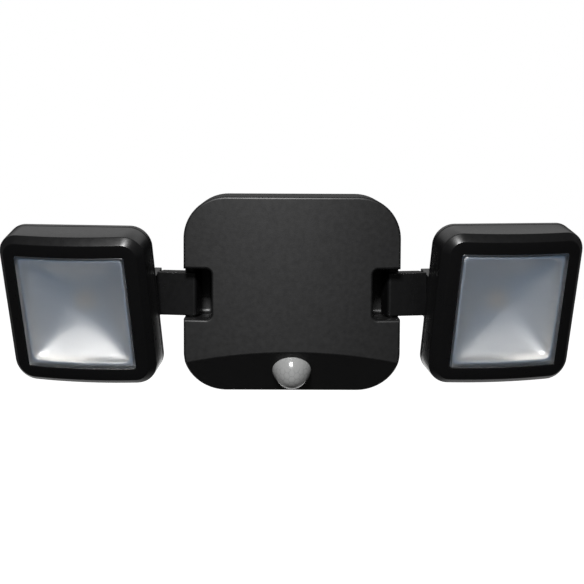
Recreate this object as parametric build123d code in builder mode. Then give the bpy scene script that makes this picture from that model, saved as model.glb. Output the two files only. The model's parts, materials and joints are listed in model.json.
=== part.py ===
from build123d import *
from math import cos, hypot, radians, sin, sqrt
import os

# Twin-head motion sensor security light, wall mounted and battery powered.
# Millimetres. The origin is the middle of the wall plate's back face: +X to the viewer's
# right, +Y into the wall, +Z up. The light faces -Y. Each arm swings about an upright pin in
# a pocket of the body, and each head tilts about its arm. Every joint stands as photographed.

os.makedirs("parts", exist_ok=True)

# ---------------------------------------------------------------- driving dimensions
# body block
body_width = 133.0
body_height = 121.7
body_depth = 62.0            # wall to the middle of the crowned front
body_corner = 26.0
crown_radius = 352.0         # front face, curved from side to side
skin = 2.5                   # moulded wall of the body
edge_round = 1.6
seam_depth = 16.0            # joint between rear housing and front cover
rim_gap = 0.8                # the housing's rim stays off the wall by this
chin_angle = 40.0            # the chin looks this far below the horizontal
brow_rise = 26.4             # underside to where the front breaks into the chin

# arm pockets
pocket_gap = 4.65            # battery bay to the pocket's inner wall
pocket_floor = 20.0          # depth from the wall
pocket_corner = 3.5
pocket_floor_round = 3.0
pin_seat = 6.0               # wall above and below the pocket that holds the pin

# swing pins
pin_inset = 4.3              # body's side to the pin
pin_depth = 37.0
pin_d = 5.0
pin_blind = 1.5              # wall left under the pin
arm_axis_z = -0.2

# arms
arm_length = 20.4            # pin to the tilt joint's face
arm_tail = 4.8               # pin to the inner end
arm_height = 27.0
arm_thick = 15.0
arm_skin = 2.0
arm_end_round = 2.2
arm_edge_round = 0.8
arm_boss_d = 8.6
low_washer_t = 0.8
friction_washer_t = 2.8      # on top, holds the arm where it is put
arm_cover_t = 1.6
arm_cover_inset = 1.0
arm_screw_x = 8.2
arm_screw_z = 8.6
arm_column_d = 4.6

# how the arms and heads stand in the photograph, degrees
left_yaw = 12.8
right_yaw = 14.6
left_tilt = 18.9
right_tilt = 15.6

# heads; depths are ahead of the tilt axis, along the beam
head_width = 92.7
head_height = 97.8
head_corner = 13.0
head_inset = 3.2             # the head's side stands this far inboard of the tilt joint
head_raise = 2.1             # middle of the head above the tilt axis
head_front = 40.5            # middle of the crowned front
head_back = 14.4
head_shell = 4.0             # depth of the rear shell, up to its seam with the frame
head_crown_radius = 265.0
head_skin = 2.2
head_bevel = 4.1
head_back_round = 1.8
frame_side = 11.2            # width of the frame beside the window
frame_end = 11.7             # and above and below it
window_corner = 1.6
rim_thick = 2.6
lens_proud = 0.5
lens_thick = 2.0
lens_lap = 1.5
knuckle_skin = 3.0
knuckle_length = 18.0
knuckle_ramp = 16.0
nut_room = 4.6               # hollow beyond the bolt's end
knuckle_well_height = 14.0
washer_room = 0.4            # between the nut's washer and the hollow's floor
reflector_band = 4.2
reflector_skin = 1.2
led_board_size = 58.0
led_board_t = 1.6
led_chip_size = 12.0
led_chip_t = 0.8
chip_margin = 1.0            # lamp chip to the reflector's square opening
head_post_d = 6.0
post_gap = 0.3               # head post to the rear shell's wall
head_post_z = 30.0

# tilt bolt
bolt_d = 5.0
bolt_hex = 8.0               # across flats
bolt_head_t = 3.6
nut_t = 4.0
bolt_tail = 1.2
tilt_washer_d = 9.0
tilt_washer_t = 1.2

# fits
turn_clear = 0.05            # radial, round a pin or bolt
face_clear = 0.1             # between faces that rub
part_clear = 0.25            # between pieces that drop into each other
joint_gap = 0.3              # between bodies that move past each other

# screws
screw_d = 3.0
screw_core_d = 2.4
screw_head_d = 5.6
screw_head_t = 2.0
screw_bite = 10.0
column_d = 8.0
housing_screw_in = 16.5      # body's side to the screw
housing_screw_down = 20.4    # body's top to the screw
small_core_d = 2.0
small_head_d = 4.4
small_head_t = 1.4
small_bite = 5.0

# batteries: C cells, upright, side by side, every other one turned over
cell_d = 26.2
cell_length = 50.0
cell_button_d = 7.5
cell_button_t = 1.6
cell_gap = 0.4
cell_count = 3
bay_z = 0.0
bay_wall = 2.0
spring_length = 6.6
spring_d = 14.0
spring_tip_d = 9.0
contact_t = 0.5
contact_size = 16.0

# battery door
door_t = 2.0
door_lap = 4.0
door_screw_out = 3.5         # the screws stand this far outside the bay
door_screw_z = 24.0
door_margin = 0.8

# circuit boards
board_t = 1.6
board_width = 72.0
board_height = 46.0
standoff = 4.0
standoff_d = 6.0
driver_size = 12.0
driver_t = 3.0
capacitor_d = 8.0
capacitor_t = 9.0
sensor_board_height = 24.0
sensor_board_margin = 4.0    # board beyond its screws
sensor_post_gap = 1.0        # retainer to the board's posts

# motion sensor
dome_d = 24.0
dome_collar = 0.2            # straight collar under the dome
dome_rise = 13.2             # the dome is a paraboloid this high
dome_skin = 0.9
dome_flange = 2.0            # width of the flange round the dome
dome_flange_t = 1.2
dome_slant = 16.2            # brow to the dome's centre, down the chin
retainer_lap = 1.0           # retainer beyond the dome's flange
retainer_t = 2.0
pir_can_d = 9.2
pir_can_t = 4.2
photocell_d = 3.0
photocell_t = 2.6
photocell_x = 8.2

# seals
seal_width = 1.2
seal_thick = 1.0

# wall plate
plate_gap = 3.0              # round the plate, inside the housing's skirt
plate_t = 3.0
plate_rim_rise = 1.2
plate_rim_wall = 1.8
slot_spacing = 60.0
slot_down = 13.35            # plate's top to the slots, clear of the battery door
slot_width = 5.0
slot_length = 10.0
hook_in = 9.5                # plate's side to the hook
hook_down = 6.4              # plate's top to the hook
hook_width = 5.0
hook_thick = 2.0
hook_lift = 3.0
lock_depth = 4.2
lock_boss_width = 12.0
lock_boss_height = 7.0
lock_seat = 1.0              # skirt left under the locking screw's head

# ---------------------------------------------------------------- derived places
sides = (-1, 1)
side_name = {-1: "left", 1: "right"}
yaw = {-1: left_yaw, 1: right_yaw}
tilt = {-1: left_tilt, 1: right_tilt}

pin_bore_d = pin_d + 2 * turn_clear
bolt_bore_d = bolt_d + 2 * turn_clear

# behind the battery bay: plate, door screws' heads, door, then the housing's back wall
back_wall_depth = plate_t + face_clear + small_head_t + door_t
back_inner = back_wall_depth + skin
bay_width = cell_count * cell_d + (cell_count + 1) * cell_gap
bay_height = cell_length + spring_length + 2 * contact_t
bay_front = back_inner + 2 * cell_gap + cell_d
board_depth = bay_front + bay_wall + standoff
door_screw_x = bay_width / 2 + door_screw_out
housing_screw_x = body_width / 2 - housing_screw_in
housing_screw_z = body_height / 2 - housing_screw_down

# the pockets take what the bay leaves of the body's width
pocket_wall_x = bay_width / 2 + bay_wall + pocket_gap + skin
pocket_height = arm_height + low_washer_t + friction_washer_t + 4 * face_clear
pocket_z = arm_axis_z + (friction_washer_t - low_washer_t) / 2
block_half = pocket_height / 2 + pin_seat
pin_x = body_width / 2 - pin_inset

brow_z = brow_rise - body_height / 2
dome_flange_d = dome_d + 2 * dome_flange
retainer_d = dome_flange_d + 2 * retainer_lap
retainer_bore = dome_d - 2 * dome_skin + 2 * face_clear
sensor_post_depth = skin + dome_flange_t + retainer_t
sensor_post_x = (retainer_d + standoff_d) / 2 + sensor_post_gap
sensor_board_width = 2 * (sensor_post_x + sensor_board_margin)

plate_width = body_width - 2 * (skin + plate_gap)
plate_height = body_height - 2 * (skin + plate_gap)
plate_corner = body_corner - skin - plate_gap
plate_rim = plate_t + plate_rim_rise
slot_z = plate_height / 2 - slot_down
hook_x = plate_width / 2 - hook_in
hook_z = plate_height / 2 - hook_down
lock_boss_t = back_wall_depth - joint_gap

head_seam = head_back + head_shell
window_width = head_width - 2 * frame_side
window_height = head_height - 2 * frame_end
head_post_x = head_width / 2 - head_skin - post_gap - head_post_d / 2
knuckle_well = tilt_washer_t + nut_t + bolt_tail + nut_room
knuckle_floor = (arm_thick - tilt_washer_d) / 2 - washer_room
reflector_well = led_chip_size + 2 * chip_margin

chin = Plane(
    origin=(0, -body_depth, brow_z),
    x_dir=(1, 0, 0),
    z_dir=(0, -cos(radians(chin_angle)), -sin(radians(chin_angle))),
)
dome_seat = Plane(
    origin=chin.from_local_coords((0, -dome_slant, 0)), x_dir=chin.x_dir, z_dir=chin.z_dir
)
rear_face = Plane(origin=(0, -back_wall_depth, 0), x_dir=(-1, 0, 0), z_dir=(0, 1, 0))

# places as (x, z) seen from the front, which the rear plane sees mirrored
housing_screws_at = [(x * housing_screw_x, z * housing_screw_z) for x in sides for z in sides]
door_screws_at = [(x * door_screw_x, bay_z + z * door_screw_z) for x in sides for z in sides]
board_screws_at = [
    (x * (board_width / 2 - standoff_d), bay_z + z * (board_height / 2 - standoff_d))
    for x in sides for z in sides
]
sensor_screws_at = [(x * sensor_post_x, 0) for x in sides]


def mirrored(places):
    """The same places seen from behind."""
    return [(-x, z) for x, z in places]


def write(piece, label):
    """Name a finished piece and keep it."""
    piece.label = label
    export_step(piece, f"parts/{label}.step")


def ring(width, height, corner, band):
    """A rounded frame of even width, drawn in the open sketch."""
    RectangleRounded(width, height, corner)
    RectangleRounded(width - 2 * band, height - 2 * band, corner - band, mode=Mode.SUBTRACT)


def screws(plane, places, length, core_d, head_d, head_t):
    """Screws whose heads stand on a plane that faces the driver."""
    with BuildPart() as group:
        with BuildSketch(plane):
            with Locations(*places):
                Circle(head_d / 2)
        extrude(amount=head_t, taper=12)
        with BuildSketch(plane.offset(-length)):
            with Locations(*places):
                Circle(core_d / 2 - turn_clear)
        extrude(amount=length)
    return group.part


# ---------------------------------------------------------------- front cover
def cover_form(inset):
    """The cover's outer form, or with an inset the hollow inside it."""
    with BuildPart() as form:
        with BuildSketch(Plane.XZ.offset(seam_depth)):
            RectangleRounded(body_width - 2 * inset, body_height - 2 * inset, body_corner - inset)
        extrude(amount=body_depth - inset - seam_depth)
        with BuildSketch(Plane.XY.offset(-body_height)):
            with Locations((0, crown_radius - body_depth)):
                Circle(crown_radius - inset)
        extrude(amount=2 * body_height, mode=Mode.INTERSECT)
        with BuildSketch(chin.offset(-inset)):
            Rectangle(2 * body_width, 2 * body_height)
        extrude(amount=body_depth, mode=Mode.SUBTRACT)
    return form.part


block_width = body_width / 2 - pocket_wall_x + 2 * skin

with BuildPart() as cover_hollow:
    add(cover_form(skin))
    # the pocket's walls, with the pin's seats above and below
    with BuildSketch(Plane.XZ.offset(seam_depth)):
        for side in sides:
            with Locations((side * (pocket_wall_x - skin + block_width / 2), pocket_z)):
                Rectangle(block_width, 2 * block_half)
    extrude(amount=body_depth, mode=Mode.SUBTRACT)
    # screw columns
    with BuildSketch(Plane.XZ.offset(seam_depth)):
        with Locations(*housing_screws_at):
            Circle(column_d / 2)
    extrude(amount=body_depth, mode=Mode.SUBTRACT)
    # posts that carry the sensor board
    with BuildSketch(dome_seat.offset(-sensor_post_depth)):
        with Locations(*sensor_screws_at):
            Circle(standoff_d / 2)
    extrude(amount=sensor_post_depth, mode=Mode.SUBTRACT)

with BuildPart() as front_cover:
    add(cover_form(0))
    # arm pockets, open to the front and to the side
    with BuildSketch(Plane.XZ.offset(pocket_floor)):
        for side in sides:
            with Locations((side * (pocket_wall_x + body_width / 2), pocket_z)):
                RectangleRounded(body_width, pocket_height, pocket_corner)
    extrude(amount=body_depth, mode=Mode.SUBTRACT)
    crown = front_cover.faces().filter_by(GeomType.CYLINDER).sort_by(SortBy.AREA)[-1]
    chin_face = front_cover.faces().filter_by(GeomType.PLANE).filter_by(
        lambda face: face.normal_at().dot(chin.z_dir) > 0.999)[0]
    fillet(list(set(crown.edges() + chin_face.edges())), radius=edge_round)
    floor_edges = front_cover.edges().filter_by(
        lambda edge: abs(edge.center().Y + pocket_floor) < 0.01
        and abs(edge.center().X) < body_width / 2 - edge_round)
    fillet(floor_edges, radius=pocket_floor_round)
    add(cover_hollow.part, mode=Mode.SUBTRACT)
    # opening for the dome
    with BuildSketch(dome_seat.offset(-2 * skin)):
        Circle(dome_d / 2 + part_clear)
    extrude(amount=3 * skin, mode=Mode.SUBTRACT)
    # screw pilots
    with BuildSketch(Plane.XZ.offset(seam_depth)):
        with Locations(*housing_screws_at):
            Circle(screw_core_d / 2)
    extrude(amount=screw_bite + screw_d, mode=Mode.SUBTRACT)
    with BuildSketch(dome_seat.offset(-sensor_post_depth)):
        with Locations(*sensor_screws_at):
            Circle(small_core_d / 2)
    extrude(amount=small_bite, mode=Mode.SUBTRACT)
    # pin seats: open above, blind below
    with BuildSketch(Plane.XY.offset(pocket_z - block_half + pin_blind)):
        with Locations(*[(side * pin_x, -pin_depth) for side in sides]):
            Circle(pin_bore_d / 2)
    extrude(amount=2 * block_half - pin_blind, mode=Mode.SUBTRACT)
write(front_cover.part, "front_cover")

# ---------------------------------------------------------------- rear housing
with BuildPart() as rear_housing:
    with BuildSketch(Plane.XZ.offset(rim_gap)):
        RectangleRounded(body_width, body_height, body_corner)
    extrude(amount=seam_depth - rim_gap)
    fillet(rear_housing.faces().sort_by(Axis.Y)[-1].edges(), radius=edge_round)
    # hollow in front of the back wall, and the wall plate's recess behind it
    with BuildSketch(Plane.XZ.offset(back_inner)):
        RectangleRounded(body_width - 2 * skin, body_height - 2 * skin, body_corner - skin)
    extrude(amount=seam_depth, mode=Mode.SUBTRACT)
    with BuildSketch(Plane.XZ):
        RectangleRounded(body_width - 2 * skin, body_height - 2 * skin, body_corner - skin)
    extrude(amount=back_wall_depth, mode=Mode.SUBTRACT)
    # battery bay, screw sleeves and board standoffs
    with BuildSketch(Plane.XZ.offset(back_wall_depth)):
        with Locations((0, bay_z)):
            Rectangle(bay_width + 2 * bay_wall, bay_height + 2 * bay_wall)
    extrude(amount=bay_front + bay_wall - back_wall_depth)
    with BuildSketch(Plane.XZ.offset(back_wall_depth)):
        with Locations(*housing_screws_at):
            Circle(column_d / 2)
    extrude(amount=seam_depth - back_wall_depth)
    with BuildSketch(Plane.XZ.offset(bay_front)):
        with Locations(*board_screws_at):
            Circle(standoff_d / 2)
    extrude(amount=bay_wall + standoff)
    # the bay's mouth
    with BuildSketch(Plane.XZ):
        with Locations((0, bay_z)):
            Rectangle(bay_width, bay_height)
    extrude(amount=bay_front, mode=Mode.SUBTRACT)
    # screw holes
    with BuildSketch(Plane.XZ):
        with Locations(*housing_screws_at):
            Circle(screw_d / 2 + part_clear)
    extrude(amount=seam_depth, mode=Mode.SUBTRACT)
    with BuildSketch(Plane.XZ.offset(back_wall_depth)):
        with Locations(*door_screws_at):
            Circle(small_core_d / 2)
    extrude(amount=skin, mode=Mode.SUBTRACT)
    with BuildSketch(Plane.XZ.offset(board_depth)):
        with Locations(*board_screws_at):
            Circle(small_core_d / 2)
    extrude(amount=-small_bite, mode=Mode.SUBTRACT)
    # slots for the wall plate's hooks, long enough to drop over them
    slot_top = hook_z + hook_thick / 2 + part_clear
    slot_rise = hook_thick + hook_lift + 2 * part_clear
    with BuildSketch(Plane.XZ.offset(back_wall_depth)):
        with Locations(*[(side * hook_x, slot_top - slot_rise / 2) for side in sides]):
            Rectangle(hook_width + 4 * part_clear, slot_rise)
    extrude(amount=skin, mode=Mode.SUBTRACT)
    # groove for the seal
    with BuildSketch(Plane.XZ.offset(seam_depth)):
        ring(body_width - skin + seal_width, body_height - skin + seal_width,
             body_corner - (skin - seal_width) / 2, seal_width)
    extrude(amount=-seal_thick, mode=Mode.SUBTRACT)
    # counterbored hole in the skirt for the locking screw
    with BuildSketch(Plane.XY.offset(-body_height / 2)):
        with Locations((0, -lock_depth)):
            Circle(small_core_d / 2 + part_clear)
    extrude(amount=2 * skin, mode=Mode.SUBTRACT)
    with BuildSketch(Plane.XY.offset(-body_height / 2)):
        with Locations((0, -lock_depth)):
            Circle(small_head_d / 2 + part_clear)
    extrude(amount=skin - lock_seat, mode=Mode.SUBTRACT)
write(rear_housing.part, "rear_housing")

with BuildPart() as housing_seal:
    with BuildSketch(Plane.XZ.offset(seam_depth)):
        ring(body_width - skin + seal_width, body_height - skin + seal_width,
             body_corner - (skin - seal_width) / 2, seal_width)
    extrude(amount=-seal_thick)
write(housing_seal.part, "housing_seal")

housing_screws = screws(rear_face, mirrored(housing_screws_at), skin + seam_depth - back_inner
                        + screw_bite, screw_core_d, screw_head_d, screw_head_t)
write(housing_screws, "housing_screws")

# ---------------------------------------------------------------- wall plate
with BuildPart() as wall_plate:
    with BuildSketch(Plane.XZ):
        RectangleRounded(plate_width, plate_height, plate_corner)
    extrude(amount=plate_t)
    with BuildSketch(Plane.XZ.offset(plate_t)):
        ring(plate_width, plate_height, plate_corner, plate_rim_wall)
    extrude(amount=plate_rim - plate_t)
    # hooks that the housing drops over
    hook_reach = back_inner + joint_gap
    with BuildSketch(Plane.XZ.offset(plate_t)):
        with Locations(*[(side * hook_x, hook_z) for side in sides]):
            Rectangle(hook_width, hook_thick)
    extrude(amount=hook_reach + hook_thick - plate_t)
    with BuildSketch(Plane.XZ.offset(hook_reach)):
        with Locations(*[(side * hook_x, hook_z + hook_lift / 2) for side in sides]):
            Rectangle(hook_width, hook_thick + hook_lift)
    extrude(amount=hook_thick)
    # boss that takes the locking screw
    with BuildSketch(Plane.XZ):
        with Locations((0, -(plate_height - lock_boss_height) / 2)):
            Rectangle(lock_boss_width, lock_boss_height)
    extrude(amount=lock_boss_t)
    with BuildSketch(Plane.XY.offset(-plate_height / 2)):
        with Locations((0, -lock_depth)):
            Circle(small_core_d / 2)
    extrude(amount=small_bite, mode=Mode.SUBTRACT)
    # slotted screw holes
    with BuildSketch(Plane.XZ):
        with Locations(*[(side * slot_spacing / 2, slot_z) for side in sides]):
            SlotOverall(slot_length, slot_width)
    extrude(amount=plate_rim, mode=Mode.SUBTRACT)
write(wall_plate.part, "wall_plate")

skirt_face = Plane(
    origin=(0, -lock_depth, -body_height / 2 + skin - lock_seat), x_dir=(1, 0, 0), z_dir=(0, 0, -1)
)
lock_length = (body_height - plate_height) / 2 - skin + small_bite
lock_screw = screws(skirt_face, [(0, 0)], lock_length, small_core_d, small_head_d, small_head_t)
write(lock_screw, "wall_plate_lock_screw")

# ---------------------------------------------------------------- battery door and cells
door_width = 2 * (door_screw_x + small_head_d / 2 + door_margin)
door_height = bay_height + 2 * door_lap
door_seal_inset = (door_lap - seal_width) / 2

with BuildPart() as battery_door:
    with BuildSketch(rear_face):
        with Locations((0, bay_z)):
            RectangleRounded(door_width, door_height, door_lap)
    extrude(amount=door_t)
    chamfer(battery_door.faces().sort_by(Axis.Y)[-1].edges(), length=door_t / 4)
    with BuildSketch(rear_face):
        with Locations((0, bay_z)):
            ring(bay_width + 2 * seal_width, bay_height + 2 * door_seal_inset + 2 * seal_width,
                 door_lap / 2, seal_width)
    extrude(amount=seal_thick, mode=Mode.SUBTRACT)
    with BuildSketch(rear_face):
        with Locations(*mirrored(door_screws_at)):
            Circle(small_core_d / 2 + part_clear)
    extrude(amount=door_t, mode=Mode.SUBTRACT)
write(battery_door.part, "battery_door")

with BuildPart() as door_seal:
    with BuildSketch(rear_face):
        with Locations((0, bay_z)):
            ring(bay_width + 2 * seal_width, bay_height + 2 * door_seal_inset + 2 * seal_width,
                 door_lap / 2, seal_width)
    extrude(amount=seal_thick)
write(door_seal.part, "battery_door_seal")

door_screws = screws(rear_face.offset(door_t), mirrored(door_screws_at), door_t + small_bite,
                     small_core_d, small_head_d, small_head_t)
write(door_screws, "battery_door_screws")

cell_axis_y = -(back_inner + cell_gap + cell_d / 2)
cell_xs = [(n - (cell_count - 1) / 2) * (cell_d + cell_gap) for n in range(cell_count)]
turned = [n % 2 == 1 for n in range(cell_count)]
bay_floor = bay_z - bay_height / 2
bay_top = bay_z + bay_height / 2

for number, (x, upside_down) in enumerate(zip(cell_xs, turned), start=1):
    # the flat end stands on its spring and the button meets the far contact
    up = -1 if upside_down else 1
    foot = bay_z - up * (bay_height / 2 - contact_t - spring_length)
    base = Plane(origin=(x, cell_axis_y, foot), x_dir=(1, 0, 0), z_dir=(0, 0, up))
    with BuildPart() as cell:
        with BuildSketch(base):
            Circle(cell_d / 2)
        extrude(amount=cell_length - cell_button_t)
        with BuildSketch(base.offset(cell_length - cell_button_t)):
            Circle(cell_button_d / 2)
        extrude(amount=cell_button_t)
    write(cell.part, f"battery_cell_{number}")

with BuildPart() as battery_contacts:
    for level in (bay_floor, bay_top - contact_t):
        with BuildSketch(Plane.XY.offset(level)):
            with Locations(*[(x, cell_axis_y) for x in cell_xs]):
                Rectangle(contact_size, contact_size)
        extrude(amount=contact_t)
write(battery_contacts.part, "battery_contacts")

with BuildPart() as battery_springs:
    for x, upside_down in zip(cell_xs, turned):
        up = -1 if upside_down else 1
        root = bay_z - up * (bay_height / 2 - contact_t)
        coil = Plane(origin=(x, cell_axis_y, root), x_dir=(1, 0, 0), z_dir=(0, 0, up))
        with BuildSketch(coil):
            Circle(spring_d / 2)
        with BuildSketch(coil.offset(spring_length)):
            Circle(spring_tip_d / 2)
        loft()
write(battery_springs.part, "battery_springs")

# ---------------------------------------------------------------- circuit boards
with BuildPart() as main_board:
    with BuildSketch(Plane.XZ.offset(board_depth)):
        with Locations((0, bay_z)):
            Rectangle(board_width, board_height)
        with Locations(*board_screws_at):
            Circle(small_core_d / 2 + part_clear, mode=Mode.SUBTRACT)
    extrude(amount=board_t)
write(main_board.part, "main_board")

board_front = Plane.XZ.offset(board_depth + board_t)
with BuildPart() as board_components:
    with BuildSketch(board_front):
        with Locations((-driver_size, bay_z)):
            Rectangle(driver_size, driver_size)
    extrude(amount=driver_t)
    with BuildSketch(board_front):
        with Locations((driver_size, bay_z + capacitor_d), (driver_size, bay_z - capacitor_d)):
            Circle(capacitor_d / 2)
    extrude(amount=capacitor_t)
write(board_components.part, "board_components")

board_screws = screws(board_front, board_screws_at, board_t + small_bite - face_clear,
                      small_core_d, small_head_d, small_head_t)
write(board_screws, "board_screws")

# ---------------------------------------------------------------- motion sensor
dome_root = dome_seat.offset(dome_collar)
dome_section = Plane(origin=dome_root.origin, x_dir=dome_seat.x_dir, z_dir=-dome_seat.y_dir)

with BuildPart() as pir_lens:
    with BuildSketch(dome_seat.offset(-skin)):
        Circle(dome_d / 2)
    extrude(amount=skin + dome_collar)
    with BuildSketch(dome_seat.offset(-skin - dome_flange_t)):
        Circle(dome_flange_d / 2)
    extrude(amount=dome_flange_t)
    for inset, mode in ((0, Mode.ADD), (dome_skin, Mode.SUBTRACT)):
        radius = dome_d / 2 - inset
        rise = dome_rise - inset
        with BuildSketch(dome_section):
            with BuildLine():
                curve = Bezier((radius, 0), (radius / 2, rise), (0, rise))
                Polyline(curve @ 1, (0, 0), curve @ 0)
            make_face()
        revolve(axis=Axis(dome_root.origin, dome_seat.z_dir), mode=mode)
    with BuildSketch(dome_root):
        Circle(dome_d / 2 - dome_skin)
    extrude(amount=-2 * dome_d, mode=Mode.SUBTRACT)
write(pir_lens.part, "pir_lens")

with BuildPart() as lens_retainer:
    with BuildSketch(dome_seat.offset(-skin - dome_flange_t)):
        Circle(retainer_d / 2)
        Circle(retainer_bore / 2, mode=Mode.SUBTRACT)
    extrude(amount=-retainer_t)
write(lens_retainer.part, "pir_lens_retainer")

sensor_face = dome_seat.offset(-sensor_post_depth)
with BuildPart() as sensor_board:
    with BuildSketch(sensor_face):
        Rectangle(sensor_board_width, sensor_board_height)
        with Locations(*sensor_screws_at):
            Circle(small_core_d / 2 + part_clear, mode=Mode.SUBTRACT)
    extrude(amount=-board_t)
write(sensor_board.part, "sensor_board")

with BuildPart() as pir_sensor:
    with BuildSketch(sensor_face):
        Circle(pir_can_d / 2)
    extrude(amount=pir_can_t)
write(pir_sensor.part, "pir_sensor")

with BuildPart() as light_sensor:
    with BuildSketch(sensor_face):
        with Locations((photocell_x, 0)):
            Circle(photocell_d / 2)
    extrude(amount=photocell_t)
write(light_sensor.part, "light_sensor")

sensor_back = Plane(
    origin=dome_seat.offset(-sensor_post_depth - board_t).origin,
    x_dir=-dome_seat.x_dir, z_dir=-dome_seat.z_dir,
)
sensor_screws = screws(sensor_back, sensor_screws_at, board_t + small_bite - face_clear,
                       small_core_d, small_head_d, small_head_t)
write(sensor_screws, "sensor_board_screws")


# ---------------------------------------------------------------- arms
def arm_plane(side):
    """Upright plane through the swing pin, facing forward: x runs along the arm."""
    turn = radians(side * yaw[side])
    return Plane(
        origin=(side * pin_x, -pin_depth, arm_axis_z),
        x_dir=(cos(turn), sin(turn), 0),
        z_dir=(sin(turn), -cos(turn), 0),
    )


for side in sides:
    name = side_name[side]
    arm = arm_plane(side)
    back = arm.offset(-arm_thick / 2)
    upright = Plane(origin=arm.origin, x_dir=arm.x_dir, z_dir=(0, 0, 1))
    reach = arm_length + arm_tail
    middle = side * (arm_length - arm_tail) / 2
    arm_screws_at = [(side * arm_screw_x, z * arm_screw_z) for z in sides]

    with BuildPart() as swing_pin:
        with BuildSketch(upright.offset(pocket_z - arm_axis_z - block_half + pin_blind)):
            Circle(pin_d / 2)
        extrude(amount=2 * block_half - pin_blind)
    write(swing_pin.part, f"{name}_swing_pin")

    with BuildPart() as swing_washers:
        washer_rest = arm_height / 2 + face_clear
        for level, washer_t in ((washer_rest, friction_washer_t), (-washer_rest, -low_washer_t)):
            with BuildSketch(upright.offset(level)):
                Circle(arm_boss_d / 2)
                Circle(pin_bore_d / 2, mode=Mode.SUBTRACT)
            extrude(amount=washer_t)
    write(swing_washers.part, f"{name}_swing_washers")

    with BuildPart() as arm_body:
        with BuildSketch(back):
            with Locations((middle, 0)):
                Rectangle(reach, arm_height)
        extrude(amount=arm_thick)
        tail_edges = arm_body.edges().filter_by(Axis.Z).filter_by(
            lambda edge: side * arm.to_local_coords(edge.center()).X < 0)
        fillet(tail_edges, radius=arm_end_round)
        long_edges = arm_body.edges().filter_by(Axis(arm.origin, arm.x_dir))
        fillet(long_edges, radius=arm_edge_round)
        # hollow from the back, with a step for the cover
        with BuildSketch(back):
            with Locations((middle, 0)):
                Rectangle(reach - 2 * arm_skin, arm_height - 2 * arm_skin)
        extrude(amount=arm_thick - arm_skin, mode=Mode.SUBTRACT)
        with BuildSketch(back):
            with Locations((middle, 0)):
                RectangleRounded(reach - 2 * arm_cover_inset, arm_height - 2 * arm_cover_inset,
                                 arm_end_round - arm_cover_inset)
        extrude(amount=arm_cover_t, mode=Mode.SUBTRACT)
        # boss round the pin, and columns for the cover's screws
        with BuildSketch(upright.offset(-arm_height / 2 + arm_skin / 2)):
            Circle(arm_boss_d / 2)
        extrude(amount=arm_height - arm_skin)
        with BuildSketch(back.offset(arm_cover_t)):
            with Locations(*arm_screws_at):
                Circle(arm_column_d / 2)
        extrude(amount=arm_thick - arm_cover_t - arm_skin / 2)
        with BuildSketch(upright.offset(-arm_height)):
            Circle(pin_bore_d / 2)
        extrude(amount=2 * arm_height, mode=Mode.SUBTRACT)
        with BuildSketch(back):
            with Locations(*arm_screws_at):
                Circle(small_core_d / 2)
        extrude(amount=arm_cover_t + small_bite, mode=Mode.SUBTRACT)
        # hole for the tilt bolt
        with BuildSketch(Plane(origin=arm.origin, x_dir=(0, 0, 1), z_dir=side * arm.x_dir)):
            Circle(bolt_bore_d / 2)
        extrude(amount=reach, mode=Mode.SUBTRACT)
    write(arm_body.part, f"{name}_arm_body")

    with BuildPart() as arm_cover:
        with BuildSketch(back):
            with Locations((middle, 0)):
                RectangleRounded(
                    reach - 2 * arm_cover_inset - 2 * face_clear,
                    arm_height - 2 * arm_cover_inset - 2 * face_clear,
                    arm_end_round - arm_cover_inset - face_clear,
                )
            with Locations(*arm_screws_at):
                Circle(small_core_d / 2 + part_clear, mode=Mode.SUBTRACT)
        extrude(amount=arm_cover_t)
    write(arm_cover.part, f"{name}_arm_cover")

    driver = Plane(origin=back.origin, x_dir=-back.x_dir, z_dir=-back.z_dir)
    arm_screws = screws(driver, mirrored(arm_screws_at), arm_cover_t + small_bite - face_clear,
                        small_core_d, small_head_d, small_head_t)
    write(arm_screws, f"{name}_arm_screws")


# ---------------------------------------------------------------- heads
def head_plane(side):
    """Plane through the tilt axis at the arm's end, facing along the beam."""
    arm = arm_plane(side)
    drop = radians(tilt[side])
    return Plane(
        origin=arm.from_local_coords((side * arm_length, 0, 0)),
        x_dir=arm.x_dir,
        z_dir=arm.z_dir * cos(drop) - Vector(0, 0, 1) * sin(drop),
    )


def crowned(side, width, height, corner, back_depth, proud):
    """A block on the head's outline, with its front curved like the head's and this far proud."""
    head = head_plane(side)
    centre = (side * (head_width / 2 - head_inset), head_raise)
    with BuildPart() as block:
        with BuildSketch(head.offset(back_depth)):
            with Locations(centre):
                RectangleRounded(width, height, corner)
        extrude(amount=head_front + proud - back_depth)
        across = Plane(origin=head.from_local_coords((centre[0], -height, 0)),
                       x_dir=head.x_dir, z_dir=head.y_dir)
        with BuildSketch(across):
            with Locations((0, head_crown_radius - head_front)):
                Circle(head_crown_radius + proud)
        extrude(amount=3 * height, mode=Mode.INTERSECT)
    return block.part


lens_width = window_width + 2 * lens_lap
lens_height = window_height + 2 * lens_lap
lens_crown = head_crown_radius - rim_thick - lens_thick
lens_sag = lens_crown - sqrt(lens_crown ** 2 - (lens_width / 2) ** 2)
lens_back = head_front - rim_thick - lens_thick - lens_sag
board_level = head_back + head_skin
chip_level = board_level + led_board_t
bolt_head_at = arm_skin + face_clear + tilt_washer_t

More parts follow.
